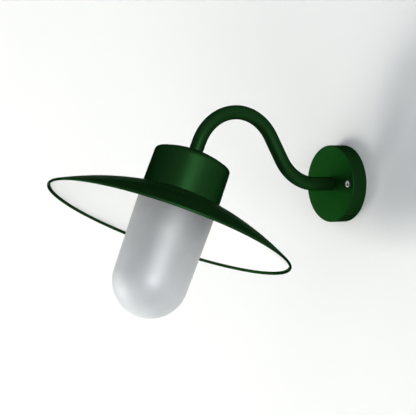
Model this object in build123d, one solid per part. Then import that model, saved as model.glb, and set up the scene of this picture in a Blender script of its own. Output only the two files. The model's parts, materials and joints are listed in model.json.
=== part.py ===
from build123d import *
import os
from math import acos, atan2, cos, degrees, pi, radians, sin, sqrt, tan

# Swan-neck wall lamp with a wide spun shade and a screw-neck glass.
# Millimetres. The wall is the plane Y = 0, the lamp stands out towards -Y, Z is up,
# and the origin is the centre of the wall rose's back.

# ---- clearances ---------------------------------------------------------------------------------
slip = 0.05               # radial play of a pin, bush or thread in its hole, same body
screw_play = 0.25         # radial play of a screw in a clearance hole
moving_play = 0.4         # radial play round a piece that turns or slides
face_gap = 0.2            # gap between flat faces of pieces that part

# ---- wall rose ----------------------------------------------------------------------------------
rose_radius = 50.0
rose_depth = 22.0         # wall to front face
rose_wall = 2.2
rose_face = 2.5
rose_edge = 1.0           # rounding of the front edge
lip_wall = 1.2            # outer lip that hides the wall seal
lip_lift = 0.5            # lip stands this far off the wall
wall_seal_width = 3.2
wall_seal_height = 2.5

# ---- wall plate ---------------------------------------------------------------------------------
plate_thickness = 2.0
slot_inset = 15.0         # wall screws, one above the other, in from the rose's edge
slot_length = 10.0
slot_width = 5.0
inlet_drop = 18.0         # cable inlet, below the centre
inlet_radius = 7.0        # hole in the plate
cable_radius = 4.0        # bore of the grommet
grommet_flange = 9.0
grommet_height = 4.5
grommet_lip = 1.0         # thickness of the flange
grommet_collar = 1.2      # wall round the bore
pillar_flats = 9.0        # hexagon across flats
pillar_spigot = 3.0       # riveted into the plate
blind_end = 1.0           # left under a pillar's tapped hole
earth_side = 24.0
earth_drop = 14.0
earth_boss_radius = 4.0
earth_boss_height = 3.0

# ---- screws -------------------------------------------------------------------------------------
head_rim_share = 0.35     # straight side of a dome head, of its height
drive_share = 0.55        # depth of the hexagon socket, of the head's height
driver_slot_width = 0.6
driver_slot_depth = 0.6
rose_screw_inset = 11.0   # from the rose's edge
rose_screw_head = 4.25
rose_screw_head_height = 2.8
rose_screw_shank = 2.5
rose_screw_length = 11.0
rose_screw_socket = 1.7
rose_washer_radius = 4.7
rose_washer_thickness = 0.8
small_head = 3.5
small_head_height = 2.4
small_socket = 1.6
small_shank = 2.0
small_washer_radius = 4.5
small_washer_thickness = 0.8
holder_screw_length = 11.0
clamp_screw_radius = 1.4
clamp_screw_length = 5.0

# ---- terminal block -----------------------------------------------------------------------------
terminal_rise = 20.0      # centre, above the rose's centre
terminal_width = 30.0
terminal_height = 15.0
terminal_depth = 12.0
terminal_poles = 3
terminal_pitch = 9.6
terminal_bore = 3.0
clamp_axis = 5.0          # above the plate
clamp_inset = 1.0         # from the housing's ends
clamp_bore = 1.9
clamp_screw_offset = 3.75 # each side of the block's middle
clamp_screw_gap = 0.5     # bore's axis to the screw's end
screw_well = 2.4
block_groove = 1.2
block_corner = 1.0

# ---- arm ----------------------------------------------------------------------------------------
tube_radius = 9.0
tube_wall = 1.5
arm_straight = 24.5       # rose face to the first bend
bend_radius = 61.0        # centreline of both bends
rise_angle = 60.0         # the arm climbs at this angle between its bends
climb_length = 35.0
drop_length = 13.8        # second bend to the cap
head_tilt = 22.8          # head axis from the vertical, bottom outward
bush_length = 16.0        # part of the bush inside the tube
bush_chamfer = 1.0
nipple_radius = 5.0
nipple_bore = 3.5
nipple_reach = 9.5        # thread that stands out past the tube's end
nut_flats = 14.0
nut_thickness = 4.0
big_washer_radius = 9.5
big_washer_thickness = 1.2

# ---- shade (heights are above the rim's plane) --------------------------------------------------
shade_radius = 160.0
shade_rise = 42.35        # rim plane to the land under the cap
shade_arc_radius = 382.0
shade_thickness = 1.2
bead_radius = 1.75        # rolled edge
land_width = 3.95         # flat land round the shade's hole
cap_overhang = 0.6        # cap stands this far past the shade's land

# ---- head cap -----------------------------------------------------------------------------------
cap_height = 59.35        # foot to the top of the crown
cap_taper = 0.94          # degrees, each side
crown_radius = 119.3
cap_edge = 5.0
cap_wall = 2.2
land_margin = 0.3         # flat seat round the tube's end
pad_margin = 1.0          # flat pad inside the crown, past the bracket's corners
spigot_wall = 2.65
web_thickness = 3.0
collar_height = 9.65      # glass thread above the shade's land
spigot_drop = 6.75        # glass thread below the shade's land
gasket_thickness = 0.8
gasket_width = 2.8
shade_ring_inset = 0.2    # from the land's edge
shade_ring_height = 5.0
spanner_notches = 4
notch_width = 6.0
notch_depth = 2.0

# ---- glass --------------------------------------------------------------------------------------
glass_radius = 47.25      # round end
glass_depth = 117.55      # rim plane to the tip
glass_taper = 1.4         # degrees, wider towards the top
glass_wall = 3.0
glass_shoulder = 5.0      # rounding of the shoulder
neck_radius = 42.25
neck_length = 21.4
neck_edge = 1.0
glass_seal_width = 4.6
glass_seal_thickness = 1.6

# ---- lampholder ---------------------------------------------------------------------------------
holder_mouth = 38.0       # height of the mouth above the rim plane
holder_height = 46.0
holder_radius = 21.0
holder_mouth_radius = 20.0
mouth_chamfer = 1.0
ear_margin = 1.0          # screw head to barrel
ear_radius = 6.0
ear_thickness = 7.0
lead_in_radius = 15.5
lead_in_depth = 4.0
shell_radius = 13.55      # inside of the screw shell
shell_thickness = 0.4
shell_length = 19.0
well_radius = 9.0
well_depth = 5.0
contact_width = 6.0
contact_length = 14.0
contact_thickness = 0.6
contact_drop = 3.7        # well's floor to the underside of the tongue
tongue_length = 11.2
bracket_thickness = 1.5
bracket_width = 14.0
bracket_leg = 15.0        # outside of each leg from the axis
holder_terminal_offset = 13.0
holder_terminal_size = 6.0
holder_terminal_width = 7.0
holder_terminal_height = 5.0
holder_terminal_bore = 1.0
holder_terminal_bore_height = 2.0
holder_clamp_length = 3.0
holder_clamp_lift = 1.0   # clamp screw's top above its terminal

# ---- lamp ---------------------------------------------------------------------------------------
lamp_radius = 30.0
lamp_length = 105.5
lamp_cap_radius = 13.2
lamp_cap_length = 22.0
lamp_cap_draw = 1.6       # drawn in at its closed end
lamp_cap_shoulder = 2.0   # height over which it is drawn in
lamp_insulator_height = 2.6
lamp_insulator_margin = 1.0
lamp_tip_radius = 4.5
lamp_tip_height = 1.1
lamp_tip_edge = 0.7
lamp_housing_length = 32.0
lamp_housing_step = 0.6   # housing past the screw cap
lamp_waist_radius = 21.6  # housing at half its length
lamp_seam_inset = 1.6     # housing's wide end, in from the envelope's widest
envelope_wall = 1.2
contact_gap = 0.3


def ring(inner, outer, low, high):
    """Round ring or tube about Z between two heights."""
    return Pos(0, 0, low) * extrude(Circle(outer) - Circle(inner), high - low)


def rod(radius, low, high):
    return Pos(0, 0, low) * extrude(Circle(radius), high - low)


def turned(*outline):
    """Solid of revolution about Z from the edges of its (radius, height) outline."""
    return revolve(Plane.XZ * make_face(list(outline)), Axis.Z)


def turned_points(*points):
    return turned(*Polyline(*points, close=True).edges())


def group(solids):
    """Separate solids that share one node."""
    return Compound(children=[part.solid() for part in solids])


def screw(head_radius, head_height, shank_radius, length, socket):
    """Dome-head screw about Z, the head's underside at height 0, with a hexagon socket."""
    rim = head_rim_share * head_height
    crown = TangentArc((0, head_height), (head_radius, rim), tangent=(1, 0))
    outline = Polyline((0, head_height), (0, -length), (shank_radius, -length), (shank_radius, 0),
                       (head_radius, 0), (head_radius, rim))
    body = turned(*outline.edges(), crown)
    drive = extrude(RegularPolygon(socket, 6), drive_share * head_height, both=True)
    return body - Pos(0, 0, head_height) * drive


def slotted_screw(radius, length):
    """Headless clamp screw about Z, its top at height 0."""
    slot = Box(3 * radius, driver_slot_width, 2 * driver_slot_depth)
    return rod(radius, -length, 0) - slot


def hexagon_bar(flats, low, high):
    return Pos(0, 0, low) * extrude(RegularPolygon(flats / 2, 6, major_radius=False), high - low)


def hexagon_nut(flats, bore, low, high):
    return hexagon_bar(flats, low, high) - rod(bore, low, high)


# ---- frames -------------------------------------------------------------------------------------
# Wall frame: local z is the distance from the wall, local y is up.
wall = Plane(origin=(0, 0, 0), x_dir=(1, 0, 0), z_dir=(0, -1, 0))
# Arm plane: local x is the distance from the wall, local y is up.
arm_plane = Plane(origin=(0, 0, 0), x_dir=(0, -1, 0), z_dir=(-1, 0, 0))

arm_start = Line((rose_depth, 0), (rose_depth + arm_straight, 0))
first_bend = JernArc(arm_start @ 1, arm_start % 1, bend_radius, rise_angle)
climb = PolarLine(first_bend @ 1, climb_length, direction=first_bend % 1)
second_bend = JernArc(climb @ 1, climb % 1, bend_radius, head_tilt - 90 - rise_angle)
drop = PolarLine(second_bend @ 1, drop_length, direction=second_bend % 1)
arm_edges = [part.edge() for part in (arm_start, first_bend, climb, second_bend, drop)]
arm_path = arm_plane * Wire(arm_edges)

# The tube stands on a flat seat cut on the crown.
seat_radius = tube_radius + land_margin
crown_drop = crown_radius - sqrt(crown_radius ** 2 - seat_radius ** 2)
seat_height = shade_rise + cap_height - crown_drop

# Head frame: origin at the centre of the shade's rim plane, local z up the head's axis.
head_down = arm_path % 1
head = Plane(origin=(arm_path @ 1) + head_down * seat_height, x_dir=(1, 0, 0), z_dir=head_down * -1)


# ---- wall side ----------------------------------------------------------------------------------
seal_outer = rose_radius - lip_wall - slip
seal_inner = seal_outer - wall_seal_width
plate_radius = seal_inner - screw_play
rose_inside = rose_depth - rose_face
rose_screw_offset = rose_radius - rose_screw_inset
slot_spacing = 2 * (rose_radius - slot_inset)


def both_sides(part, offset):
    return [Pos(side * offset, 0, 0) * part for side in (-1, 1)]


def wall_plate():
    boss_top = plate_thickness + earth_boss_height
    plate = rod(plate_radius, 0, plate_thickness)
    plate += Pos(-earth_side, -earth_drop, 0) * rod(earth_boss_radius, 0, boss_top)
    for side in (-1, 1):
        slot = Pos(0, side * slot_spacing / 2, 0) * SlotOverall(slot_length, slot_width, rotation=90)
        plate -= extrude(slot, plate_thickness)
        plate -= Pos(side * rose_screw_offset, 0, 0) * rod(pillar_spigot + slip, 0, plate_thickness)
    plate -= Pos(0, -inlet_drop, 0) * rod(inlet_radius, 0, plate_thickness)
    return plate - Pos(-earth_side, -earth_drop, 0) * rod(small_shank + slip, 0, boss_top)


def rose_pillars():
    """Hexagonal pillars, riveted into the plate and tapped for the rose's screws."""
    bore = rose_screw_shank + slip
    pillar = hexagon_nut(pillar_flats, bore, plate_thickness + blind_end, rose_inside)
    pillar += hexagon_bar(pillar_flats, plate_thickness, plate_thickness + blind_end)
    pillar += rod(pillar_spigot, 0, plate_thickness)
    return group(both_sides(pillar, rose_screw_offset))


def wall_seal():
    return ring(seal_inner, seal_outer, 0, wall_seal_height)


def cable_grommet():
    outer = inlet_radius - slip
    flange_top = plate_thickness + grommet_lip
    body = turned_points((cable_radius, 0), (outer, 0), (outer, plate_thickness),
                         (grommet_flange, plate_thickness), (grommet_flange, flange_top),
                         (cable_radius + grommet_collar, grommet_height), (cable_radius, grommet_height))
    return Pos(0, -inlet_drop, 0) * body


def terminal_columns():
    middle = (terminal_poles - 1) / 2
    return [(pole - middle) * terminal_pitch for pole in range(terminal_poles)]


def clamp_screw_rows():
    return [terminal_rise + end * clamp_screw_offset for end in (-1, 1)]


def terminal_block():
    """Moulded housing: a bore for each clamp, two screw wells to a pole, grooves between poles."""
    top = plate_thickness + terminal_depth
    base = Pos(0, terminal_rise, plate_thickness + terminal_depth / 2)
    block = base * Box(terminal_width, terminal_height, terminal_depth)
    block = fillet(block.edges().filter_by(Axis.Z), block_corner)
    for x in terminal_columns():
        bore = Rot(90, 0, 0) * Cylinder(terminal_bore, terminal_height)
        block -= Pos(x, terminal_rise, plate_thickness + clamp_axis) * bore
        for y in clamp_screw_rows():
            block -= Pos(x, y, 0) * rod(screw_well, plate_thickness + clamp_axis, top)
    for x in terminal_columns()[:-1]:
        groove = Pos(x + terminal_pitch / 2, terminal_rise, top)
        block -= groove * Box(block_groove, terminal_height, 2 * block_groove)
    hole = Pos(terminal_pitch / 2, terminal_rise, plate_thickness)
    block -= hole * rod(clamp_screw_radius + slip, 0, terminal_depth)
    return block


def terminal_clamps():
    """Brass clamp tubes, tapped for two screws each."""
    clamps = []
    for x in terminal_columns():
        clamp = Rot(90, 0, 0) * Cylinder(terminal_bore - slip, terminal_height - 2 * clamp_inset)
        clamp -= Rot(90, 0, 0) * Cylinder(clamp_bore, terminal_height)
        clamp = Pos(x, terminal_rise, plate_thickness + clamp_axis) * clamp
        for y in clamp_screw_rows():
            axis = plate_thickness + clamp_axis
            clamp -= Pos(x, y, 0) * rod(clamp_screw_radius + slip, axis, axis + terminal_bore)
        clamps.append(clamp)
    return group(clamps)


def terminal_screws():
    top = plate_thickness + clamp_axis + clamp_screw_gap + clamp_screw_length
    body = slotted_screw(clamp_screw_radius, clamp_screw_length)
    return group([Pos(x, y, top) * body for x in terminal_columns() for y in clamp_screw_rows()])


def terminal_fixing_screw():
    length = terminal_depth - block_groove
    place = Pos(terminal_pitch / 2, terminal_rise, plate_thickness + length)
    return place * slotted_screw(clamp_screw_radius, length)


def earth_washer():
    low = plate_thickness + earth_boss_height
    washer = ring(small_shank + screw_play, small_washer_radius, low, low + small_washer_thickness)
    return Pos(-earth_side, -earth_drop, 0) * washer


def earth_screw():
    seat = plate_thickness + earth_boss_height + small_washer_thickness
    body = screw(small_head, small_head_height, small_shank, seat, small_socket)
    return Pos(-earth_side, -earth_drop, seat) * body


def wall_rose():
    """Open-backed cup; its lip hides the seal that lies against the wall."""
    cup = rod(rose_radius, lip_lift, rose_depth)
    cup = fillet(cup.edges().group_by(Axis.Z)[-1], rose_edge)
    cup -= rod(rose_radius - rose_wall, 0, rose_inside)
    cup -= rod(rose_radius - lip_wall, 0, wall_seal_height)
    cup -= rod(nipple_radius + screw_play, rose_inside, rose_depth)
    hole = rod(rose_screw_shank + screw_play, rose_inside, rose_depth)
    for side_hole in both_sides(hole, rose_screw_offset):
        cup -= side_hole
    return cup


def rose_screw_seals():
    top = rose_depth + rose_washer_thickness
    seal = ring(rose_screw_shank + slip, rose_washer_radius, rose_depth, top)
    return group(both_sides(seal, rose_screw_offset))


def rose_screws():
    body = screw(rose_screw_head, rose_screw_head_height, rose_screw_shank, rose_screw_length,
                 rose_screw_socket)
    seat = Pos(0, 0, rose_depth + rose_washer_thickness)
    return group(both_sides(seat * body, rose_screw_offset))


# ---- arm ----------------------------------------------------------------------------------------
def arm_tube():
    """Swan neck: one tube bent up from the rose and over into the crown of the cap."""
    start = Plane(origin=arm_path @ 0, z_dir=arm_path % 0)
    section = Circle(tube_radius) - Circle(tube_radius - tube_wall)
    return sweep(start * section, path=arm_path)


def arm_bush():
    """Bush fixed in a tube's end at height 0, with a hollow threaded nipple below it."""
    outer = tube_radius - tube_wall - slip
    bush = rod(outer, 0, bush_length)
    bush = chamfer(bush.edges().group_by(Axis.Z)[-1], bush_chamfer)
    bush += rod(nipple_radius, -nipple_reach, 0)
    return bush - rod(nipple_bore, -nipple_reach, bush_length)


def big_washer(thickness_above):
    """Washer under a locknut; its top is this far below the tube's end."""
    top = -thickness_above
    return ring(nipple_radius + slip, big_washer_radius, top - big_washer_thickness, top)


def locknut(thickness_above):
    top = -thickness_above - big_washer_thickness
    return hexagon_nut(nut_flats, nipple_radius + slip, top - nut_thickness, top)


# A tube end with its bush, washer and locknut: local z points into the tube.
rose_end = Plane(origin=arm_path @ 0, x_dir=(1, 0, 0), z_dir=arm_path % 0)
cap_end = Plane(origin=arm_path @ 1, x_dir=(1, 0, 0), z_dir=head_down * -1)


# ---- head ---------------------------------------------------------------------------------------
bore_radius = neck_radius + moving_play
spigot_radius = bore_radius + spigot_wall
spigot_end = shade_rise - spigot_drop
shade_hole = spigot_radius + screw_play
land_radius = shade_hole + land_width
cap_radius = land_radius + cap_overhang
crown_top = shade_rise + cap_height
crown_centre = crown_top - crown_radius
pad_radius = sqrt(bracket_leg ** 2 + (bracket_width / 2) ** 2) + pad_margin
pad_height = crown_centre + sqrt((crown_radius - cap_wall) ** 2 - pad_radius ** 2)


def cap_form(inset):
    """Tapered drum closed by a crown; the edge between them is rounded."""
    height = cap_height
    foot = cap_radius - inset
    drum = Pos(0, 0, shade_rise) * Cone(foot, foot - height * tan(radians(cap_taper)), height,
                                        align=(Align.CENTER, Align.CENTER, Align.MIN))
    form = drum & (Pos(0, 0, crown_centre) * Sphere(crown_radius - inset))
    rim = form.edges().filter_by(lambda edge: edge.is_closed).sort_by(Axis.Z)[-1]
    return fillet(rim, cap_edge - inset)


def head_cap():
    """Cast cap: open below, with a threaded spigot for the shade and the glass."""
    web_top = shade_rise + web_thickness
    cap = cap_form(0) - rod(cap_radius, seat_height, crown_top)
    cap -= cap_form(cap_wall) - rod(cap_radius, pad_height, crown_top)
    cap -= rod(nipple_radius + screw_play, pad_height, crown_top)
    cap += ring(bore_radius, cap_radius - cap_wall / 2, shade_rise, web_top)
    cap += ring(bore_radius, spigot_radius, spigot_end, shade_rise + collar_height)
    gasket_outer = shade_hole + gasket_width
    return cap - ring(spigot_radius, gasket_outer, shade_rise, shade_rise + gasket_thickness)


def shade_gasket():
    return ring(shade_hole, shade_hole + gasket_width - slip, shade_rise, shade_rise + gasket_thickness)


def shade():
    """Spun dish: a flat land round the hole, one shallow arc, and a bead rolled at the rim."""
    under_land = shade_rise - shade_thickness
    start, bead = Vector(land_radius, shade_rise), Vector(shade_radius - bead_radius, 0)
    # The outer face is an arc from the land's edge that touches the bead from outside.
    chord = bead - start
    touching = shade_arc_radius - bead_radius
    along = (shade_arc_radius ** 2 - touching ** 2 + chord.length ** 2) / (2 * chord.length)
    across = sqrt(shade_arc_radius ** 2 - along ** 2)
    forward = chord.normalized()
    centre = start + forward * along + Vector(forward.Y, -forward.X) * across
    inner_radius = shade_arc_radius - shade_thickness
    first = degrees(atan2(start.Y - centre.Y, start.X - centre.X))
    last = degrees(atan2(bead.Y - centre.Y, bead.X - centre.X))
    inner_first = degrees(acos((land_radius - centre.X) / inner_radius))
    # The inner face runs into the bead a little before the outer face leaves it.
    overlap = touching ** 2 + inner_radius ** 2 - bead_radius ** 2
    lead = degrees(acos(overlap / (2 * touching * inner_radius)))
    top = CenterArc(centre, shade_arc_radius, first, last - first)
    under = CenterArc(centre, inner_radius, inner_first, last + lead - inner_first)
    meeting = under @ 1
    turn = (last - degrees(atan2(meeting.Y - bead.Y, meeting.X - bead.X))) % 360
    roll = CenterArc(bead, bead_radius, last, -turn)
    land = Polyline(under @ 0, (land_radius, under_land), (shade_hole, under_land),
                    (shade_hole, shade_rise), (land_radius, shade_rise))
    return turned(top, roll, under, *land.edges())


def shade_ring():
    """Round ring screwed on the spigot to hold the shade up; notched for a spanner."""
    top = shade_rise - shade_thickness
    low = top - shade_ring_height
    outer = land_radius - shade_ring_inset
    body = ring(spigot_radius + slip, outer, low, top)
    for turn in range(spanner_notches):
        notch = Box(outer - spigot_radius, notch_width, 2 * notch_depth)
        body -= Rot(0, 0, (turn + 0.5) * 360 / spanner_notches) * Pos(outer, 0, low) * notch
    return body


seal_top = spigot_end - face_gap
shoulder_height = seal_top - glass_seal_thickness - face_gap


def glass_seal():
    inner = neck_radius + moving_play
    return ring(inner, inner + glass_seal_width, shoulder_height + face_gap, seal_top)


def glass_form(inset, neck_top):
    """Round-ended tapered body, rounded shoulder and straight neck."""
    taper = radians(glass_taper)
    radius = glass_radius - inset
    centre = glass_radius - glass_depth
    shoulder = shoulder_height - inset
    foot = (radius * cos(taper), centre - radius * sin(taper))
    wide = foot[0] + (shoulder - foot[1]) * tan(taper)
    low_turn = 0.5 * (radians(90) + taper)
    belly = (radius * cos(low_turn), centre - radius * sin(low_turn))
    neck = neck_radius - inset
    side = Polyline(foot, (wide, shoulder), (neck, shoulder), (neck, neck_top), (0, neck_top),
                    (0, centre - radius))
    profile = make_face([ThreePointArc((0, centre - radius), belly, foot), *side.edges()])
    corner = profile.vertices().sort_by_distance((wide, shoulder))[0]
    profile = fillet(corner, glass_shoulder - inset)
    return revolve(Plane.XZ * profile, Axis.Z)


def glass_dome():
    """Frosted glass with a plain neck the size of its thread."""
    neck_top = shoulder_height + neck_length
    outside = glass_form(0, neck_top)
    outside = fillet(outside.edges().group_by(Axis.Z)[-1], neck_edge)
    return outside - glass_form(glass_wall, neck_top)


# ---- lampholder ---------------------------------------------------------------------------------
holder_top = holder_mouth + holder_height
shell_top = holder_mouth + lead_in_depth + shell_length
well_floor = shell_top + well_depth
nut_stack = seat_height - pad_height + bracket_thickness
ear_offset = holder_radius + small_head + ear_margin


def lampholder_bracket():
    """Bridge of folded strip: its web hangs on the nipple and its feet carry the holder."""
    inner = bracket_leg - bracket_thickness
    foot_end = ear_offset + ear_radius
    foot_top = holder_top + bracket_thickness
    half = [(inner, holder_top), (inner, pad_height - bracket_thickness)]
    outer = [(bracket_leg, pad_height), (bracket_leg, foot_top), (foot_end, foot_top),
             (foot_end, holder_top)]
    right = [*half[::-1], *outer[::-1]]
    loop = right + [(-x, z) for x, z in reversed(right)]
    profile = make_face(Polyline(*loop, close=True).edges())
    strip = extrude(Plane.XZ * profile, bracket_width / 2, both=True)
    strip -= rod(nipple_radius + slip, holder_top, pad_height)
    for hole in both_sides(rod(small_shank + slip, holder_top, foot_top), ear_offset):
        strip -= hole
    return strip


def lampholder_body():
    """Porcelain barrel with two ears, hollow for the screw shell and the centre contact."""
    ear_low = holder_top - ear_thickness
    shell_seat = shell_radius + shell_thickness + slip
    body = turned_points((0, holder_mouth), (holder_mouth_radius - mouth_chamfer, holder_mouth),
                         (holder_mouth_radius, holder_mouth + mouth_chamfer), (holder_radius, ear_low),
                         (holder_radius, holder_top), (0, holder_top))
    ears = extrude(SlotOverall(2 * (ear_offset + ear_radius), 2 * ear_radius), ear_thickness)
    body += Pos(0, 0, ear_low) * ears
    body -= rod(lead_in_radius, holder_mouth, holder_mouth + lead_in_depth)
    body -= rod(shell_seat, holder_mouth, shell_top)
    body -= rod(well_radius, shell_top, well_floor)
    for hole in both_sides(rod(small_shank + screw_play, ear_low, holder_top), ear_offset):
        body -= hole
    return body


def lampholder_shell():
    return ring(shell_radius, shell_radius + shell_thickness, holder_mouth + lead_in_depth, shell_top)


def lampholder_contact():
    """Spring strip: a base on the well's floor, folded back under itself as a tongue."""
    half = contact_length / 2
    inner = half - contact_thickness
    tip = half - tongue_length
    base = well_floor - contact_thickness
    tongue = well_floor - contact_drop
    tongue_top = tongue + contact_thickness
    outline = [(-half, well_floor), (half, well_floor), (half, tongue), (tip, tongue),
               (tip, tongue_top), (inner, tongue_top), (inner, base), (-half, base)]
    profile = make_face(Polyline(*outline, close=True).edges())
    return extrude(Plane.XZ * profile, contact_width / 2, both=True)


def lampholder_screws():
    body = screw(small_head, small_head_height, small_shank, holder_screw_length, small_socket)
    under_ear = Pos(0, 0, holder_top - ear_thickness) * Rot(180, 0, 0)
    return group(both_sides(under_ear * body, ear_offset))


def holder_terminal_places():
    return [Pos(0, side * holder_terminal_offset, holder_top) for side in (-1, 1)]


def lampholder_terminals():
    post = Box(holder_terminal_width, holder_terminal_size, holder_terminal_height,
               align=(Align.CENTER, Align.CENTER, Align.MIN))
    bore = Rot(0, 90, 0) * Cylinder(holder_terminal_bore, holder_terminal_width)
    post -= Pos(0, 0, holder_terminal_bore_height) * bore
    post -= rod(clamp_screw_radius + slip, holder_terminal_bore_height, holder_terminal_height)
    return group([place * post for place in holder_terminal_places()])


def lampholder_terminal_screws():
    lift = Pos(0, 0, holder_terminal_height + holder_clamp_lift)
    body = slotted_screw(clamp_screw_radius, holder_clamp_length)
    return group([place * lift * body for place in holder_terminal_places()])


# ---- lamp ---------------------------------------------------------------------------------------
lamp_top = well_floor - contact_drop - contact_gap
tip_low = lamp_top - lamp_tip_height
insulator_low = tip_low - lamp_insulator_height
lamp_cap_low = insulator_low - lamp_cap_length
housing_low = lamp_cap_low - lamp_housing_length
lamp_bottom = lamp_top - lamp_length
drawn_radius = lamp_cap_radius - lamp_cap_draw
seam_radius = lamp_radius - lamp_seam_inset


def bulb_contact():
    tip = rod(lamp_tip_radius, tip_low, lamp_top)
    return fillet(tip.edges().group_by(Axis.Z)[-1], lamp_tip_edge)


def bulb_insulator():
    return turned_points((0, insulator_low), (drawn_radius, insulator_low),
                         (lamp_tip_radius + lamp_insulator_margin, tip_low), (0, tip_low))


def bulb_cap():
    """Screw cap, drawn in at its closed end."""
    shoulder = insulator_low - lamp_cap_shoulder
    return turned_points((0, lamp_cap_low), (lamp_cap_radius, lamp_cap_low),
                         (lamp_cap_radius, shoulder), (drawn_radius, insulator_low), (0, insulator_low))


def bulb_housing():
    """Flared housing between the screw cap and the envelope."""
    narrow, wide = (lamp_cap_radius + lamp_housing_step, lamp_cap_low), (seam_radius, housing_low)
    waist = (lamp_waist_radius, (lamp_cap_low + housing_low) / 2)
    side = Polyline(wide, (0, housing_low), (0, lamp_cap_low), narrow)
    return turned(Spline(narrow, waist, wide), *side.edges())


def envelope_form(inset):
    """Rounded bowl that carries the housing's flare on to its widest and closes below."""
    radius = lamp_radius - inset
    widest = (radius, lamp_bottom + lamp_radius)
    seam = (seam_radius - inset, housing_low)
    end = (0, lamp_bottom + inset)
    shoulder = TangentArc(widest, seam, tangent=(0, 1))
    round_end = TangentArc(end, widest, tangent=(1, 0))
    axis_side = Polyline(seam, (0, housing_low), end)
    return turned(round_end, shoulder, *axis_side.edges())


def bulb_envelope():
    return envelope_form(0) - envelope_form(envelope_wall)


# ---- all nodes: name, the frame it is drawn in, its solid ---------------------------------------
nodes = [
    ("wall_plate", wall, wall_plate()),
    ("rose_pillars", wall, rose_pillars()),
    ("wall_seal", wall, wall_seal()),
    ("cable_grommet", wall, cable_grommet()),
    ("terminal_block", wall, terminal_block()),
    ("terminal_clamps", wall, terminal_clamps()),
    ("terminal_screws", wall, terminal_screws()),
    ("terminal_fixing_screw", wall, terminal_fixing_screw()),
    ("earth_washer", wall, earth_washer()),
    ("earth_screw", wall, earth_screw()),
    ("wall_rose", wall, wall_rose()),
    ("rose_screw_seals", wall, rose_screw_seals()),
    ("rose_screws", wall, rose_screws()),
    ("arm_tube", Plane.XY, arm_tube()),
    ("rose_bush", rose_end, arm_bush()),
    ("rose_washer", rose_end, big_washer(rose_face)),
    ("rose_locknut", rose_end, locknut(rose_face)),
    ("head_bush", cap_end, arm_bush()),
    ("head_washer", cap_end, big_washer(nut_stack)),
    ("head_locknut", cap_end, locknut(nut_stack)),
    ("head_cap", head, head_cap()),
    ("shade_gasket", head, shade_gasket()),
    ("shade", head, shade()),
    ("shade_ring", head, shade_ring()),
    ("lampholder_bracket", head, lampholder_bracket()),
    ("lampholder_body", head, lampholder_body()),
    ("lampholder_shell", head, lampholder_shell()),
    ("lampholder_contact", head, lampholder_contact()),
    ("lampholder_screws", head, lampholder_screws()),
    ("lampholder_terminals", head, lampholder_terminals()),
    ("lampholder_terminal_screws", head, lampholder_terminal_screws()),
    ("glass_seal", head, glass_seal()),
    ("glass_dome", head, glass_dome()),
    ("bulb_envelope", head, bulb_envelope()),
    ("bulb_housing", head, bulb_housing()),
    ("bulb_cap", head, bulb_cap()),
    ("bulb_insulator", head, bulb_insulator()),
    ("bulb_contact", head, bulb_contact()),
]

os.makedirs("parts", exist_ok=True)
for name, frame, part in nodes:
    export_step(frame.location * part, f"parts/{name}.step")

section_area = pi * (tube_radius ** 2 - (tube_radius - tube_wall) ** 2)
print("arm tube volume over section times length:", arm_tube().volume / (section_area * arm_path.length))
print("head frame origin:", head.origin, "axis:", head.z_dir)
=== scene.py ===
import json
from math import cos, degrees, pi, radians, sin

import bpy
from mathutils import Matrix, Vector


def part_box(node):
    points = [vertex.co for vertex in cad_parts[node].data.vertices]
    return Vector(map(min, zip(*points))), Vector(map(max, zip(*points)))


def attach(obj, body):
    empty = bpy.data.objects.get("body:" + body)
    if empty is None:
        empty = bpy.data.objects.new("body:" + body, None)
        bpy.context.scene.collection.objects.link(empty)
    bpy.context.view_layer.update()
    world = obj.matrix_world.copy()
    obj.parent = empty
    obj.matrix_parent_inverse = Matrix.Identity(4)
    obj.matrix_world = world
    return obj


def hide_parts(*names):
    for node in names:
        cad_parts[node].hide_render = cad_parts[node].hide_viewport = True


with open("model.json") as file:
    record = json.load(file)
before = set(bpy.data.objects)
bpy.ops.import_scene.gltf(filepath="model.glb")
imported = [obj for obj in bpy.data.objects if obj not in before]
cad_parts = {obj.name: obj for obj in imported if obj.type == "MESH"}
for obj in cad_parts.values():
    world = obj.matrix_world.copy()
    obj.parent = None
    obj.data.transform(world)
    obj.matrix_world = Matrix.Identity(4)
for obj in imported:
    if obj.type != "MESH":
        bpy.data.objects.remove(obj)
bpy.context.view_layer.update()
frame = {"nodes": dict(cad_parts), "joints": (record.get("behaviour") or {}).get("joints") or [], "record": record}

MM = 0.001

# ---- the head's frame: origin at the centre of the shade's rim, z up the head's axis -------------
unscrew = next(joint for joint in frame["joints"] if joint["name"] == "glass_unscrew")
head_up = -Vector(unscrew["axis"]).normalized()
head_across = Vector((1, 0, 0))
head_side = head_up.cross(head_across)
HEAD = Matrix((head_across, head_side, head_up)).transposed().to_4x4()
HEAD.translation = Vector(unscrew["pos_m"])
TO_HEAD = HEAD.inverted()
ON_AXIS = 1e-5    # a point within this of the axis lies on it


def head_points(node):
    """(radius, height) of a CAD node's vertices in the head's frame."""
    found = [TO_HEAD @ vertex.co for vertex in frame["nodes"][node].data.vertices]
    return [(Vector(p[:2]).length, p.z) for p in found]


def heights(node):
    levels = [height for _, height in head_points(node)]
    return min(levels), max(levels)


def widest(node, low=-1.0, high=1.0):
    return max(radius for radius, height in head_points(node) if low <= height <= high)


def narrowest(node, low=-1.0, high=1.0):
    return min(radius for radius, height in head_points(node) if low <= height <= high)


# ---- meshes --------------------------------------------------------------------------------------
def mesh_object(name, points, faces, place):
    mesh = bpy.data.meshes.new(name)
    mesh.from_pydata([place @ Vector(p) for p in points], [], faces)
    mesh.validate()
    mesh.shade_smooth()
    piece = bpy.data.objects.new(name, mesh)
    bpy.context.scene.collection.objects.link(piece)
    return piece


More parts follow.
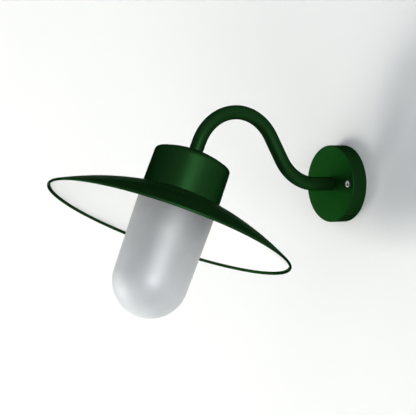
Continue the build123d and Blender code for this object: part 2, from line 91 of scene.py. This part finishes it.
def arc(centre, radius, start, end, steps):
    """Points of a round stretch of a (radius, height) outline, angles in degrees."""
    turns = [radians(start + (end - start) * i / steps) for i in range(steps + 1)]
    return [(centre[0] + radius * cos(t), centre[1] + radius * sin(t)) for t in turns]


def straight(start, end, steps):
    """Points of a straight stretch of an outline."""
    return [tuple(Vector(start).lerp(Vector(end), i / steps)) for i in range(steps + 1)]


def lathe(name, outline, place, relief, segments):
    """Turns a (radius, height) outline about z, as a closed skin.

    relief(turn, radius, height) adds to the radius. The outline goes up on the outer side and down
    on the inner side, so that the faces point outward.
    """
    points, faces, rows = [], [], []
    for radius, height in outline:
        if radius < ON_AXIS:
            rows.append([len(points)] * segments)
            points.append((0, 0, height))
            continue
        rows.append(list(range(len(points), len(points) + segments)))
        for step in range(segments):
            turn = 2 * pi * step / segments
            r = radius + relief(turn, radius, height)
            points.append((r * cos(turn), r * sin(turn), height))
    for lower, upper in zip(rows, rows[1:] + rows[:1]):
        for step in range(segments):
            following = (step + 1) % segments
            corners = [lower[step], lower[following], upper[following], upper[step]]
            face = list(dict.fromkeys(corners))
            if len(face) > 2:
                faces.append(face)
    return mesh_object(name, points, faces, place)


def smooth_step(low, high, value):
    t = min(1.0, max(0.0, (value - low) / (high - low)))
    return t * t * (3 - 2 * t)


def helix_wave(pitch, turn, height):
    """1 on the crest of a right-hand thread and 0 in its root, round at both."""
    return 0.5 + 0.5 * cos(2 * pi * (height / pitch - turn / (2 * pi)))


def thread(pitch, depth, start, end, runout):
    """Relief of a round thread between two heights, fading out over runout at both ends."""
    def relief(turn, radius, height):
        fade_in = smooth_step(start, start + runout, height)
        fade_out = 1 - smooth_step(end - runout, end, height)
        return -depth * (fade_in * fade_out) * (1 - helix_wave(pitch, turn, height))
    return relief


def on_side(relief, radius, reach):
    """The same relief, only where the outline is within reach of a radius."""
    return lambda turn, r, height: relief(turn, r, height) if abs(r - radius) < reach else 0.0


# ---- node trees ----------------------------------------------------------------------------------
# A colour Mix node's sockets are found by place, because its number sockets have the same names.
MIX_SHARE, MIX_FIRST, MIX_SECOND, MIX_RESULT = 0, 6, 7, 2
NOISE_MIDDLE = (0.3, 0.7)    # most of a noise's values lie between these
NOISE_UPPER = (0.35, 0.7)
EDGE_DOTS = (0.995, 0.9)     # how well true and rounded normals agree on flat stretches and edges


class Tree:
    """Builds a node tree a node at a time."""

    def __init__(self, tree):
        self.tree = tree

    def add(self, kind, **settings):
        node = self.tree.nodes.new(kind)
        for key, value in settings.items():
            setattr(node, key, value)
        return node

    def give(self, target, value):
        """Links or sets an input; a colour comes without its alpha."""
        if isinstance(value, bpy.types.NodeSocket):
            self.tree.links.new(value, target)
        elif target.type == "RGBA":
            target.default_value = (*value, 1.0)
        else:
            target.default_value = value

    def put(self, node, **values):
        """Links or sets a node's inputs, named with underscores for spaces."""
        for key, value in values.items():
            self.give(node.inputs[key.replace("_", " ")], value)
        return node

    def remap(self, value, low, high, to_low=0.0, to_high=1.0):
        node = self.put(self.add("ShaderNodeMapRange"), Value=value, From_Min=low, From_Max=high,
                        To_Min=to_low, To_Max=to_high)
        return node.outputs["Result"]

    def math(self, operation, first, second):
        node = self.add("ShaderNodeMath", operation=operation)
        self.give(node.inputs[0], first)
        self.give(node.inputs[1], second)
        return node.outputs["Value"]

    def dot(self, first, second):
        node = self.add("ShaderNodeVectorMath", operation="DOT_PRODUCT")
        self.give(node.inputs[0], first)
        self.give(node.inputs[1], second)
        return node.outputs["Value"]

    def mix(self, share, first, second):
        """First colour where share is 0, second where it is 1."""
        node = self.add("ShaderNodeMix", data_type="RGBA")
        self.give(node.inputs[MIX_SHARE], share)
        self.give(node.inputs[MIX_FIRST], first)
        self.give(node.inputs[MIX_SECOND], second)
        return node.outputs[MIX_RESULT]


class Finish(Tree):
    """Builds a material around its Principled shader."""

    def __init__(self, name):
        self.material = bpy.data.materials.new(name)
        self.material.use_nodes = True
        super().__init__(self.material.node_tree)
        self.shader = self.tree.nodes["Principled BSDF"]
        self.place = self.add("ShaderNodeTexCoord").outputs["Object"]

    def noise(self, scale, detail, roughness=0.5, distortion=0.0):
        node = self.put(self.add("ShaderNodeTexNoise"), Vector=self.place, Scale=scale,
                        Detail=detail, Roughness=roughness, Distortion=distortion)
        return node.outputs["Fac"]

    def clouds(self, scale, detail, roughness=0.5):
        """0 to 1 in soft patches."""
        return self.remap(self.noise(scale, detail, roughness), *NOISE_UPPER)

    def uneven(self, scale, detail, low, high):
        """A value that wanders between low and high."""
        return self.remap(self.noise(scale, detail), *NOISE_MIDDLE, low, high)

    def edges(self, width):
        """0 on flat stretches and up to 1 on edges about this wide."""
        bevel = self.put(self.add("ShaderNodeBevel", samples=6), Radius=width)
        normal = self.add("ShaderNodeNewGeometry").outputs["Normal"]
        return self.remap(self.dot(bevel.outputs["Normal"], normal), *EDGE_DOTS)

    def bump(self, height, strength, distance, under=None):
        """Relief on the shader, over another relief where one is given."""
        node = self.put(self.add("ShaderNodeBump"), Height=height, Strength=strength,
                        Distance=distance)
        if under is not None:
            self.give(node.inputs["Normal"], under)
        self.give(self.shader.inputs["Normal"], node.outputs["Normal"])
        return node.outputs["Normal"]

    def height_in_head(self):
        """Height above the plane of the shade's rim, up the head's axis."""
        height = self.dot(self.place, head_up)
        return self.math("SUBTRACT", height, HEAD.translation.dot(head_up))

    def finish(self, **values):
        self.put(self.shader, **values)
        return self.material


# ---- materials -----------------------------------------------------------------------------------
GREEN = (0.0117, 0.0475, 0.0128)
GREEN_DEEP = (0.0097, 0.0420, 0.0106)
GREEN_WORN = (0.035, 0.11, 0.04)
PAINT_METALLIC = 0.7
PAINT_SPECULAR = 0.0
PAINT_EDGE = (0.03, 0.12, 0.03)    # gloss colour at a glancing angle
PAINT_ROUGHNESS = (0.39, 0.46)
PAINT_WEAR = 0.35
WHITE_ENAMEL = (0.91, 0.91, 0.895)
ENAMEL_LINE = 1.8 * MM             # the white starts this far above the rim's plane
FACES_DOWN = -0.2                  # a normal that rises less than this faces down
GLASS_LOW = (0.608, 0.624, 0.635)  # colour at the glass's tip
GLASS_PAINTED_SHADE = (0.05, 0.055, 0.06)   # colour at its lip: painted shade for the dark inside of the head
GLASS_SPECULAR = 1.5
GLASS_COAT = 0.2
GLASS_COAT_ROUGHNESS = 0.45
GLASS_ROUGHNESS = (0.51, 0.58)
METAL_WEAR = 0.5
MOULDING_WEAR = 0.4
STAGE_PATCHES = 0.985              # the stage's darker patches, as a share of its colour


def lighter(colour, gain, lift=0.0):
    return tuple(min(1.0, c * gain + lift) for c in colour)


def shade_inside(nodes):
    """1 on the dish's lower face, inside its rolled bead."""
    normal = nodes.add("ShaderNodeNewGeometry").outputs["True Normal"]
    under = nodes.math("LESS_THAN", nodes.dot(normal, head_up), FACES_DOWN)
    above_bead = nodes.math("GREATER_THAN", nodes.height_in_head(), ENAMEL_LINE)
    return nodes.math("MULTIPLY", under, above_bead)


def powder_coat(name, inside=None):
    """Satin green powder coat: faint orange peel, uneven gloss, edges rubbed a little lighter.

    inside gives a mask that is 1 where the coat is white enamel.
    """
    nodes = Finish(name)
    paint = nodes.mix(nodes.clouds(14, detail=4), GREEN, GREEN_DEEP)
    patchy = nodes.remap(nodes.noise(90, detail=5), 0.42, 0.62)
    rubbed = nodes.math("MULTIPLY", nodes.edges(0.7 * MM), patchy)
    paint = nodes.mix(nodes.math("MULTIPLY", rubbed, PAINT_WEAR), paint, GREEN_WORN)
    metallic = PAINT_METALLIC
    if inside is not None:
        mask = inside(nodes)
        paint = nodes.mix(mask, paint, WHITE_ENAMEL)
        metallic = nodes.remap(mask, 0.0, 1.0, PAINT_METALLIC, 0.0)
    peel = nodes.bump(nodes.noise(620, detail=2), strength=0.10, distance=0.25 * MM)
    nodes.bump(nodes.noise(2600, detail=2), strength=0.06, distance=0.08 * MM, under=peel)
    return nodes.finish(Base_Color=paint, Metallic=metallic,
                        Roughness=nodes.uneven(22, 4, *PAINT_ROUGHNESS),
                        Specular_IOR_Level=PAINT_SPECULAR, Specular_Tint=PAINT_EDGE)


def metal(name, colour, dull, roughness, stain=None):
    """Bare or plated metal with fine grain, clouded gloss and brighter edges."""
    nodes = Finish(name)
    tone = nodes.mix(nodes.clouds(120, detail=5, roughness=0.6), colour, dull)
    if stain:
        spots = nodes.noise(45, detail=3, distortion=1.5)
        tone = nodes.mix(nodes.remap(spots, 0.55, 0.75, 0.0, 0.5), tone, stain)
    worn = nodes.math("MULTIPLY", nodes.edges(0.3 * MM), METAL_WEAR)
    tone = nodes.mix(worn, tone, lighter(colour, 1.15))
    nodes.bump(nodes.noise(900, detail=3), strength=0.12, distance=0.05 * MM)
    return nodes.finish(Base_Color=tone, Metallic=1.0,
                        Roughness=nodes.uneven(260, 4, roughness - 0.06, roughness + 0.10))


def moulding(name, colour, other, roughness, grain=500, strength=0.08):
    """Plastic, rubber or ceramic: faint mottling, soft relief and uneven gloss."""
    nodes = Finish(name)
    tone = nodes.mix(nodes.clouds(70, detail=4), colour, other)
    worn = nodes.math("MULTIPLY", nodes.edges(0.4 * MM), MOULDING_WEAR)
    tone = nodes.mix(worn, tone, lighter(colour, 1.1, 0.01))
    nodes.bump(nodes.noise(grain, detail=3), strength, distance=0.1 * MM)
    return nodes.finish(Base_Color=tone,
                        Roughness=nodes.uneven(150, 4, roughness - 0.05, roughness + 0.08))


def frosted_glass():
    """Etched glass: a fine even grain; its colour darkens from tip to lip as painted shade for the dark inside of
    the head.
    """
    nodes = Finish("frosted_glass")
    # painted shade: the colour runs from the tip's colour to a dark lip colour up the head's axis, with a little
    # random tone on top
    depth = nodes.remap(nodes.height_in_head(), *heights("glass_dome"))
    clouds = nodes.math("ADD", depth, nodes.uneven(26, 4, -0.04, 0.04))
    fine = nodes.bump(nodes.noise(5200, detail=2), strength=0.10, distance=0.04 * MM)
    nodes.bump(nodes.noise(160, detail=3), strength=0.05, distance=0.15 * MM, under=fine)
    return nodes.finish(Base_Color=nodes.mix(clouds, GLASS_LOW, GLASS_PAINTED_SHADE),
                        Roughness=nodes.uneven(60, 4, *GLASS_ROUGHNESS),
                        Specular_IOR_Level=GLASS_SPECULAR, Coat_Weight=GLASS_COAT,
                        Coat_Roughness=GLASS_COAT_ROUGHNESS)


LOOKS = {
    "green_paint": powder_coat("green_powder_coat"),
    "zinc_steel": metal("zinc_steel", (0.62, 0.63, 0.63), (0.50, 0.51, 0.51), 0.34,
                        stain=(0.52, 0.50, 0.40)),
    "stainless": metal("stainless_steel", (0.74, 0.74, 0.72), (0.66, 0.66, 0.65), 0.20),
    "brass": metal("brass", (0.80, 0.62, 0.30), (0.66, 0.48, 0.22), 0.28,
                   stain=(0.45, 0.30, 0.14)),
    "nickel_cap": metal("nickel_cap", (0.70, 0.69, 0.66), (0.60, 0.59, 0.56), 0.26),
    "black_rubber": moulding("black_rubber", (0.022, 0.022, 0.023), (0.032, 0.032, 0.032), 0.62,
                             grain=900, strength=0.15),
    "white_moulding": moulding("white_moulding", (0.80, 0.80, 0.77), (0.75, 0.75, 0.72), 0.42),
    "black_moulding": moulding("black_moulding", (0.02, 0.02, 0.022), (0.03, 0.03, 0.032), 0.3),
    "porcelain": moulding("porcelain", (0.85, 0.85, 0.81), (0.80, 0.80, 0.76), 0.14,
                          grain=220, strength=0.05),
    "frosted_glass": frosted_glass(),
    "opal_plastic": moulding("opal_plastic", (0.88, 0.88, 0.86), (0.85, 0.85, 0.83), 0.38,
                             grain=1200, strength=0.04),
}
SHADE_LOOK = powder_coat("shade_enamel", inside=shade_inside)


def dress(piece, look):
    piece.data.materials.clear()
    piece.data.materials.append(look)


for row in frame["record"]["subparts"]:
    dress(frame["nodes"][row["node"]], LOOKS[row["material_slot"]])
dress(frame["nodes"]["shade"], SHADE_LOOK)


# ---- pieces with real threads --------------------------------------------------------------------
GLASS_PITCH = frame["record"]["behaviour"]["couplings"][0]["ratio"] * 2 * pi
GLASS_THREAD = 1.2 * MM       # depth
GLASS_RUNOUT = 3 * MM         # the thread fades out over this length at both ends
GLASS_ROUND = 47.22 * MM      # radius of the round end
GLASS_TAPER = radians(1.4)    # the side widens upward by this angle
GLASS_SHOULDER = 5 * MM       # radius between side and shoulder, outside
GLASS_INNER_ROUND = 3 * MM    # radius between side and shoulder, inside
NECK_FILLET = 0.6 * MM        # radius between shoulder and neck
BEYOND_NECK = 1 * MM          # what is wider than the neck by more than this is its shoulder
NECK_FOOT = 1 * MM            # the thread starts this far above the shoulder
NECK_TOP = 1.5 * MM           # and ends this far below the top
NECK_INSIDE = 2 * MM          # the bore's straight part ends this far below the shoulder
LIP_HEIGHT = 1.2 * MM         # the neck's lip starts this far below its top
GLASS_SEGMENTS = 192

SPIGOT_LENGTH = 16.0 * MM
SPIGOT_CHAMFER = 0.5 * MM     # the thread's sleeve starts this far above the spigot's end
SLEEVE_WALL = 0.4 * MM
SPIGOT_PLAY = 0.1 * MM        # the spigot's thread is this much shallower than the glass's
SPIGOT_RUNOUT = 2.5 * MM
SPIGOT_END = 2 * MM           # the spigot's bore is measured this near to its end

LAMP_PITCH = 3.629 * MM
LAMP_THREAD = 1.0 * MM        # depth
LAMP_RUNOUT = 1.6 * MM
LAMP_FOOT = 1.5 * MM          # the lamp's cap is drawn in over this height at its foot
LAMP_DRAW = 0.2 * MM          # and by this much
LAMP_THREAD_FOOT = 1.8 * MM   # its thread starts at this height
LAMP_NECK = 2 * MM            # and ends this far below its top, where the cap narrows
SHELL_RUNOUT = 1.8 * MM
SHELL_FOOT = 0.5 * MM         # the shell's thread starts at this height
LAMP_SEGMENTS = 96

THREAD_STEPS = 90             # rows of faces along a threaded stretch
NECK_STEPS = 84


def fit_to(piece, body, slot, *nodes):
    """Parents the piece to the body it rides on, gives it its finish and hides the solids it stands for."""
    dress(piece, LOOKS[slot])
    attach(piece, body)
    if nodes:
        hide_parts(*nodes)
    return piece


def screw_glass():
    """Round-ended frosted glass with a round thread on its neck."""
    tip, lip = heights("glass_dome")
    on_axis = [height for radius, height in head_points("glass_dome") if radius < ON_AXIS]
    wall = max(on_axis) - min(on_axis)
    neck = widest("glass_dome", lip - NECK_TOP, lip)
    shoulder = max(height for radius, height in head_points("glass_dome")
                   if radius > neck + BEYOND_NECK)
    wide = widest("glass_dome")
    centre = tip + GLASS_ROUND
    foot = GLASS_ROUND * cos(GLASS_TAPER)
    corner = wide - GLASS_SHOULDER, shoulder - GLASS_SHOULDER
    fillet = neck + NECK_FILLET, shoulder + NECK_FILLET
    inner_corner = wide - wall - GLASS_INNER_ROUND, shoulder - wall - GLASS_INNER_ROUND
    inner = neck - wall
    lip_start = lip - LIP_HEIGHT

    outside = arc((0, centre), GLASS_ROUND, -90, -degrees(GLASS_TAPER), 60)
    outside += straight((foot, outside[-1][1]), (wide, corner[1]), 40)[1:]
    outside += arc(corner, GLASS_SHOULDER, 0, 90, 10)[1:]
    outside += straight((corner[0], shoulder), (fillet[0], shoulder), 3)[1:]
    outside += arc(fillet, NECK_FILLET, -90, -180, 5)[1:]
    outside += straight((neck, fillet[1]), (neck, lip_start), NECK_STEPS)[1:]
    round_lip = arc((neck - wall / 2, lip - wall / 2), wall / 2, 20, 160, 12)
    inside = straight((inner, lip_start), (inner, shoulder - NECK_INSIDE), 12)
    inside += arc(inner_corner, GLASS_INNER_ROUND, 90, 0, 6)
    inside += straight((wide - wall, inner_corner[1]), (foot - wall, centre), 30)[1:]
    inside += arc((0, centre), GLASS_ROUND - wall, 0, -90, 50)[1:]

    relief = thread(GLASS_PITCH, GLASS_THREAD, shoulder + NECK_FOOT, lip - NECK_TOP, GLASS_RUNOUT)
    piece = lathe("glass_with_thread", outside + round_lip + inside, HEAD,
                  on_side(relief, neck, reach=0.2 * MM), GLASS_SEGMENTS)
    return fit_to(piece, "glass", "frosted_glass", "glass_dome")


def cap_thread():
    """Thread in the cap's spigot that the glass screws into."""
    low, _ = heights("head_cap")
    bore = narrowest("head_cap", low, low + SPIGOT_END)
    foot = low + SPIGOT_CHAMFER
    high = low + SPIGOT_LENGTH
    back = bore + SLEEVE_WALL
    outline = [(back, foot), (back, high)] + straight((bore, high), (bore, foot), THREAD_STEPS)
    relief = thread(GLASS_PITCH, GLASS_THREAD - SPIGOT_PLAY, low, high, SPIGOT_RUNOUT)
    piece = lathe("cap_spigot_thread", outline, HEAD, on_side(relief, bore, reach=0.2 * MM),
                  GLASS_SEGMENTS)
    return fit_to(piece, "fixture", "green_paint")


def lamp_screw_cap():
    """Rolled screw cap of the lamp."""
    low, high = heights("bulb_cap")
    radius = widest("bulb_cap")
    drawn = widest("bulb_cap", high - 0.1 * MM, high)
    start, end = low + LAMP_FOOT, high - LAMP_NECK
    outline = [(0, low)] + straight((radius - LAMP_DRAW, low), (radius, start), 3)
    outline += straight((radius, start), (radius, end), THREAD_STEPS)[1:]
    outline += straight((radius, end), (drawn, high), 4)[1:] + [(0, high)]
    relief = thread(LAMP_PITCH, LAMP_THREAD, low + LAMP_THREAD_FOOT, end, LAMP_RUNOUT)
    piece = lathe("lamp_cap_with_thread", outline, HEAD,
                  on_side(relief, radius, reach=0.1 * MM), LAMP_SEGMENTS)
    return fit_to(piece, "bulb", "nickel_cap", "bulb_cap")


def lampholder_screw_shell():
    """Sheet shell with the rolled thread that takes the lamp."""
    low, high = heights("lampholder_shell")
    inner = narrowest("lampholder_shell")
    outer = widest("lampholder_shell")
    outline = straight((outer, low), (outer, high), THREAD_STEPS)
    outline += straight((inner, high), (inner, low), THREAD_STEPS)
    relief = thread(LAMP_PITCH, LAMP_THREAD, low + SHELL_FOOT, high, SHELL_RUNOUT)
    piece = lathe("lampholder_shell_with_thread", outline, HEAD, relief, LAMP_SEGMENTS)
    return fit_to(piece, "fixture", "nickel_cap", "lampholder_shell")


screw_glass()
cap_thread()
lamp_screw_cap()
lampholder_screw_shell()


# ---- stage ---------------------------------------------------------------------------------------
WALL_GAP = 0.4 * MM
WALL_REACH = 2.6
WALL_COLOUR = (0.90, 0.90, 0.89)
ROSE_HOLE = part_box("wall_rose")[1].x - 0.7 * MM    # radius of the wall's opening
HOLE_SIDES = 96
FLOOR_LEVEL = -2.1
FLOOR_REACH = 9.0
FLOOR_COLOUR = (0.85, 0.85, 0.85)
FLOOR_GLOW = 0.68


def one_sided(name, colour, glow=0.0):
    """Pale matt surface, seen and lit from its front only; glow keeps it pale to the eye."""
    nodes = Finish(name)
    tone = nodes.mix(nodes.uneven(3, 2, 0.0, 1.0), colour,
                     tuple(STAGE_PATCHES * c for c in colour))
    nodes.finish(Base_Color=tone, Roughness=0.9, Specular_IOR_Level=0.0, Emission_Color=tone)
    if glow:
        seen = nodes.add("ShaderNodeLightPath").outputs["Is Camera Ray"]
        nodes.finish(Emission_Strength=nodes.math("MULTIPLY", seen, glow))
    clear = nodes.add("ShaderNodeBsdfTransparent")
    back = nodes.add("ShaderNodeNewGeometry").outputs["Backfacing"]
    either = nodes.add("ShaderNodeMixShader")
    for target, source in zip(either.inputs, (back, nodes.shader.outputs[0], clear.outputs[0])):
        nodes.give(target, source)
    nodes.put(nodes.tree.nodes["Material Output"], Surface=either.outputs[0])
    return nodes.material


def wall_stage():
    """Wall behind the rose, open where the rose covers it."""
    turns = [2 * pi * i / HOLE_SIDES for i in range(HOLE_SIDES)]
    hole = [(ROSE_HOLE * cos(t), WALL_GAP, ROSE_HOLE * sin(t)) for t in turns]
    edge = []
    for t in turns:
        reach = WALL_REACH / max(abs(cos(t)), abs(sin(t)))
        edge.append((reach * cos(t), WALL_GAP, max(FLOOR_LEVEL, reach * sin(t))))
    faces = []
    for i in range(HOLE_SIDES):
        following = (i + 1) % HOLE_SIDES
        faces.append((i, HOLE_SIDES + i, HOLE_SIDES + following, following))
    wall = mesh_object("stage_wall", hole + edge, faces, Matrix.Identity(4))
    dress(wall, one_sided("stage_wall_paint", WALL_COLOUR))
    return wall


def floor_stage():
    corners = [(FLOOR_REACH * x, FLOOR_REACH * y, FLOOR_LEVEL)
               for x, y in ((-1, -1), (1, -1), (1, 1), (-1, 1))]
    floor = mesh_object("stage_floor", corners, [(0, 1, 2, 3)], Matrix.Identity(4))
    dress(floor, one_sided("stage_floor_paint", FLOOR_COLOUR, FLOOR_GLOW))
    return floor


wall_stage()
floor_stage()


# ---- lights --------------------------------------------------------------------------------------
LIT_POINT = Vector((0, -0.2, -0.02))
WORLD_LIGHT = 0.41                  # strength as light and in gloss
WORLD_SEEN = 0.92                   # strength to the eye
WORLD_TINT = (0.87, 0.925, 1.0)     # colour as light and in gloss
WHITE = (1.0, 1.0, 1.0)
WARM = (1.0, 0.985, 0.93)
WARM_GLOSS = (1.0, 0.99, 0.95)
COOL = (0.96, 0.98, 1.0)


def softbox(name, towards, distance, size, radiance, tint=WHITE):
    """Area lamp that faces the lit point from a direction, with a set brightness."""
    lamp = bpy.data.lights.new(name, "AREA")
    lamp.shape = "RECTANGLE"
    lamp.size, lamp.size_y = size
    lamp.energy = radiance * pi * size[0] * size[1]
    lamp.color = tint
    holder = bpy.data.objects.new(name, lamp)
    bpy.context.scene.collection.objects.link(holder)
    holder.visible_camera = False
    direction = Vector(towards).normalized()
    holder.location = LIT_POINT + direction * distance
    holder.rotation_euler = direction.to_track_quat("Z", "Y").to_euler()
    return holder


def card(*settings):
    """Softbox that shows in gloss only and lights nothing."""
    softbox(*settings).visible_diffuse = False


key = softbox("key_low_left", (-0.62, -0.70, -0.36), 3.4, (1.3, 1.3), 15.4, WARM)
key.visible_glossy = False
card("card_low_left", (-0.60, -0.70, -0.37), 3.4, (1.2, 1.2), 8.0, WARM_GLOSS)
softbox("low_right", (0.50, -0.66, -0.45), 3.0, (1.1, 1.1), 2.0)
softbox("beside_camera", (0.96, -0.27, 0.04), 2.9, (0.8, 1.1), 7.4, COOL)
card("card_beside_camera", (0.90, -0.435, 0.06), 2.9, (0.8, 1.2), 19.5, COOL)
card("card_left", (-0.834, -0.55, -0.03), 2.9, (1.0, 1.0), 3.4)
softbox("overhead", (0.2, -0.6, 0.8), 2.6, (1.6, 1.6), 0.4)


def world_light():
    """Pale to the eye, dim as light and in gloss."""
    world = bpy.data.worlds.new("studio")
    world.use_nodes = True
    bpy.context.scene.world = world
    nodes = Tree(world.node_tree)
    rays = nodes.add("ShaderNodeLightPath").outputs
    seen = nodes.math("MAXIMUM", rays["Is Camera Ray"], rays["Is Transmission Ray"])
    nodes.put(world.node_tree.nodes["Background"],
              Color=nodes.mix(seen, WORLD_TINT, WHITE),
              Strength=nodes.remap(seen, 0.0, 1.0, WORLD_LIGHT, WORLD_SEEN))


world_light()


# ---- camera --------------------------------------------------------------------------------------
CAMERA_AZIMUTH = radians(56.514)
CAMERA_ELEVATION = radians(1.485)
FOCAL_PIXELS = 2098.2
PICTURE = (416, 415)
ORIGIN_PIXEL = (343.52, 183.51)     # where the frame's origin falls in the picture
ORIGIN_DEPTH = 2.7454
SENSOR_MM = 36.0


def camera():
    """Looks at the object as the photograph does; the rose's centre falls on its pixel."""
    a, e = CAMERA_AZIMUTH, CAMERA_ELEVATION
    back = Vector((sin(a) * cos(e), -cos(a) * cos(e), sin(e)))
    right = Vector((cos(a), sin(a), 0))
    up = back.cross(right)
    across = (ORIGIN_PIXEL[0] - PICTURE[0] / 2) / FOCAL_PIXELS * ORIGIN_DEPTH
    above = (PICTURE[1] / 2 - ORIGIN_PIXEL[1]) / FOCAL_PIXELS * ORIGIN_DEPTH
    data = bpy.data.cameras.new("photo_view")
    data.sensor_width = SENSOR_MM
    data.lens = FOCAL_PIXELS * SENSOR_MM / PICTURE[0]
    data.clip_end = 60
    holder = bpy.data.objects.new("photo_view", data)
    bpy.context.scene.collection.objects.link(holder)
    place = Matrix((right, up, back)).transposed().to_4x4()
    place.translation = back * ORIGIN_DEPTH - right * across - up * above
    holder.matrix_world = place
    bpy.context.scene.camera = holder


camera()
bpy.context.scene.view_settings.view_transform = "Standard"
